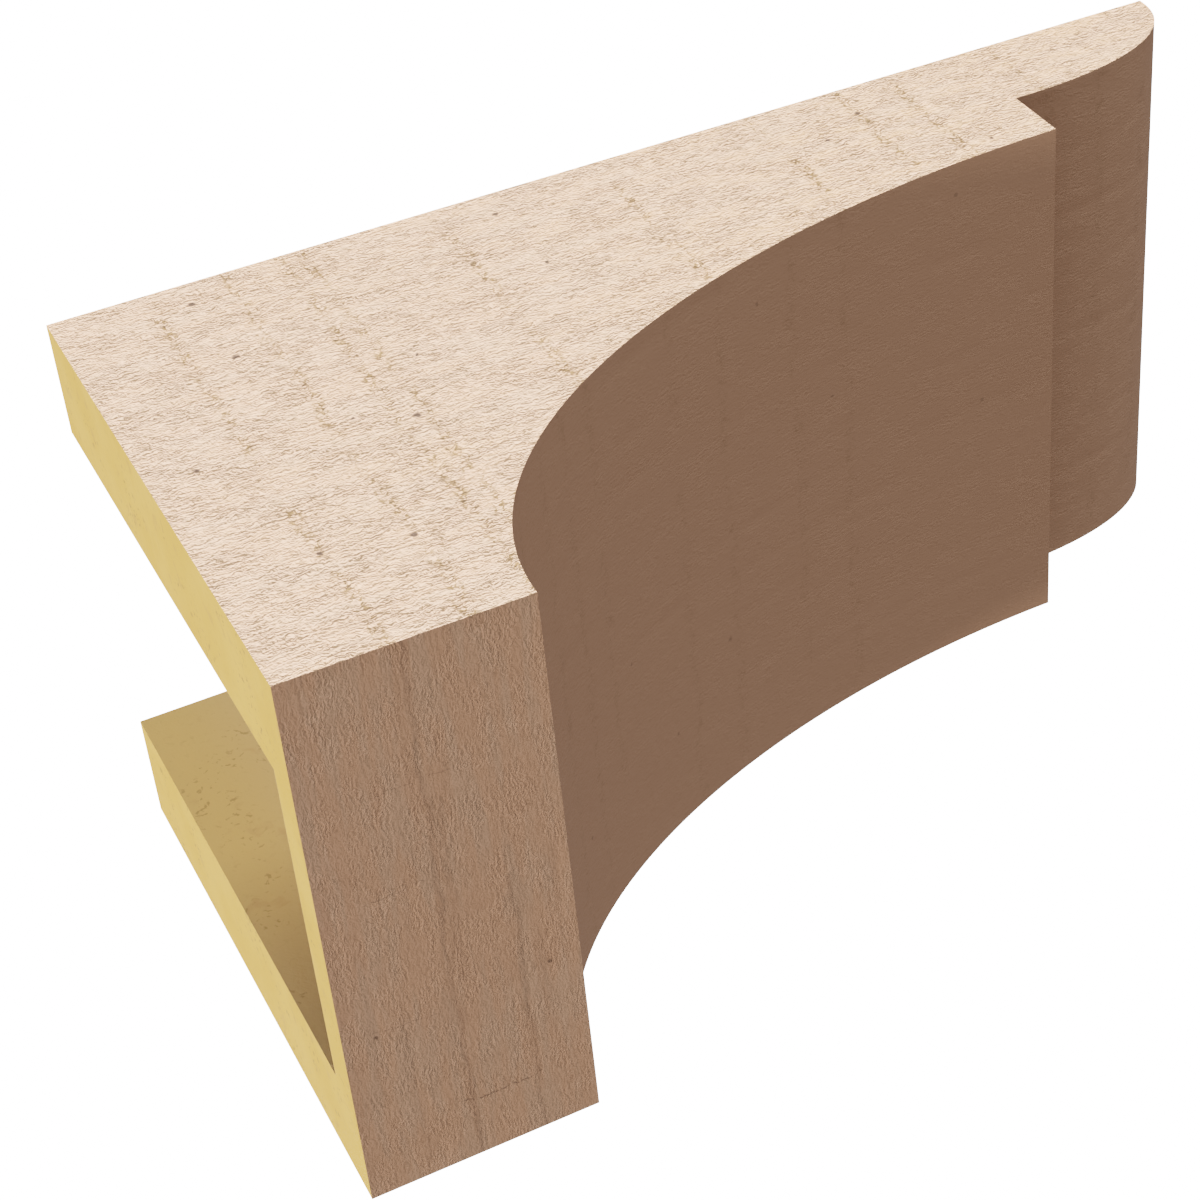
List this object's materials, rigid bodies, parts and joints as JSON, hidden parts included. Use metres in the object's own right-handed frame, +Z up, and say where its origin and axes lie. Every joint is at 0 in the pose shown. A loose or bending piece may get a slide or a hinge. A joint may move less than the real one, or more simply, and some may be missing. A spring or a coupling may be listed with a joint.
{
  "type": "corbel",
  "caption": "Timber-look corbel with a square block, a long elliptical cove, a step and a rounded nose, hollow and open at the back and top.",
  "frame": {"origin": "middle of the top edge of the back, on the wall plane", "axes": "+Z up the wall, +Y into the wall, the corbel stands out towards -Y, +X across it"},
  "size_m": [0.2032, 0.2032, 0.4064],
  "materials": {
    "rough_sawn_finish": "matt tan factory finish on moulded rough-sawn grain"
  },
  "bodies": {
    "root": {"corbel": "rough_sawn_finish"}
  },
  "joints": []
}
